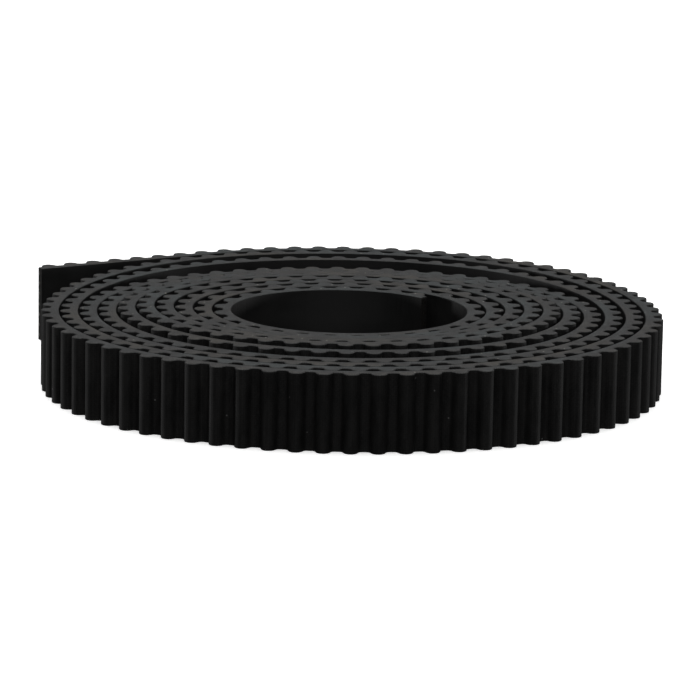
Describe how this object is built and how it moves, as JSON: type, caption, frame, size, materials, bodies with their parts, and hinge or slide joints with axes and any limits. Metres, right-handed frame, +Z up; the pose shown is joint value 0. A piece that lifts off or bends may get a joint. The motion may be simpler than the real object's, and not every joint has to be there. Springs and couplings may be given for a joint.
{
  "type": "timing belt",
  "caption": "Open-ended toothed timing belt wound into a loose spiral coil with its teeth outwards, standing on its edge, with a free tail.",
  "frame": {"origin": "middle of the bounding box's underside, on the surface that the coil stands on", "axes": "+Z up, along the coil's axis and the belt's 6 mm width; +X along the coil's longest side, away from the free tail; -Y is the side that the picture was taken from"},
  "size_m": [0.0498, 0.0486, 0.0066],
  "materials": {
    "backing": "smooth ground black rubber",
    "cord": "twisted glass-fibre cords bedded in rubber",
    "tooth": "black rubber teeth faced with woven nylon"
  },
  "bodies": {
    "inner_end_1": {"backing_inner_end_1": "backing", "cord_ply_inner_end_1": "cord", "tooth_ply_inner_end_1": "tooth"},
    "inner_end_2": {"backing_inner_end_2": "backing", "cord_ply_inner_end_2": "cord", "tooth_ply_inner_end_2": "tooth"},
    "inner_end_3": {"backing_inner_end_3": "backing", "cord_ply_inner_end_3": "cord", "tooth_ply_inner_end_3": "tooth"},
    "coil": {"backing_coil": "backing", "cord_ply_coil": "cord", "tooth_ply_coil": "tooth"},
    "outer_end_6": {"backing_outer_end_6": "backing", "cord_ply_outer_end_6": "cord", "tooth_ply_outer_end_6": "tooth"},
    "outer_end_5": {"backing_outer_end_5": "backing", "cord_ply_outer_end_5": "cord", "tooth_ply_outer_end_5": "tooth"},
    "outer_end_4": {"backing_outer_end_4": "backing", "cord_ply_outer_end_4": "cord", "tooth_ply_outer_end_4": "tooth"},
    "outer_end_3": {"backing_outer_end_3": "backing", "cord_ply_outer_end_3": "cord", "tooth_ply_outer_end_3": "tooth"},
    "outer_end_2": {"backing_outer_end_2": "backing", "cord_ply_outer_end_2": "cord", "tooth_ply_outer_end_2": "tooth"},
    "outer_end_1": {"backing_outer_end_1": "backing", "cord_ply_outer_end_1": "cord", "tooth_ply_outer_end_1": "tooth"}
  },
  "joints": [
    {"name": "outer_flex_6", "type": "hinge", "parent": "coil", "child": "outer_end_6", "pos_m": [0.02331, 0.00408, 0.003], "axis": [0, 0, -1], "range_deg": [0, 12], "stiffness_Nm_per_rad": 0.0005},
    {"name": "outer_flex_5", "type": "hinge", "parent": "outer_end_6", "child": "outer_end_5", "pos_m": [0.01946, 0.01325, 0.003], "axis": [0, 0, -1], "range_deg": [0, 12], "stiffness_Nm_per_rad": 0.0005},
    {"name": "outer_flex_4", "type": "hinge", "parent": "outer_end_5", "child": "outer_end_4", "pos_m": [0.01228, 0.02009, 0.003], "axis": [0, 0, -1], "range_deg": [0, 12], "stiffness_Nm_per_rad": 0.0005},
    {"name": "outer_flex_3", "type": "hinge", "parent": "outer_end_4", "child": "outer_end_3", "pos_m": [0.00282, 0.02311, 0.003], "axis": [0, 0, -1], "range_deg": [0, 12], "stiffness_Nm_per_rad": 0.0005},
    {"name": "outer_flex_2", "type": "hinge", "parent": "outer_end_3", "child": "outer_end_2", "pos_m": [-0.00708, 0.02226, 0.003], "axis": [0, 0, -1], "range_deg": [0, 12], "stiffness_Nm_per_rad": 0.0005},
    {"name": "outer_flex_1", "type": "hinge", "parent": "outer_end_2", "child": "outer_end_1", "pos_m": [-0.01606, 0.01793, 0.003], "axis": [0, 0, -1], "range_deg": [-5, 14], "stiffness_Nm_per_rad": 0.0005},
    {"name": "inner_flex_3", "type": "hinge", "parent": "coil", "child": "inner_end_3", "pos_m": [-0.00888, -0.00086, 0.003], "axis": [0, 0, -1], "range_deg": [0, 10], "stiffness_Nm_per_rad": 0.0005},
    {"name": "inner_flex_2", "type": "hinge", "parent": "inner_end_3", "child": "inner_end_2", "pos_m": [-0.00493, 0.00344, 0.003], "axis": [0, 0, -1], "range_deg": [0, 10], "stiffness_Nm_per_rad": 0.0005},
    {"name": "inner_flex_1", "type": "hinge", "parent": "inner_end_2", "child": "inner_end_1", "pos_m": [0.0009, 0.00445, 0.003], "axis": [0, 0, -1], "range_deg": [0, 10], "stiffness_Nm_per_rad": 0.0005}
  ]
}
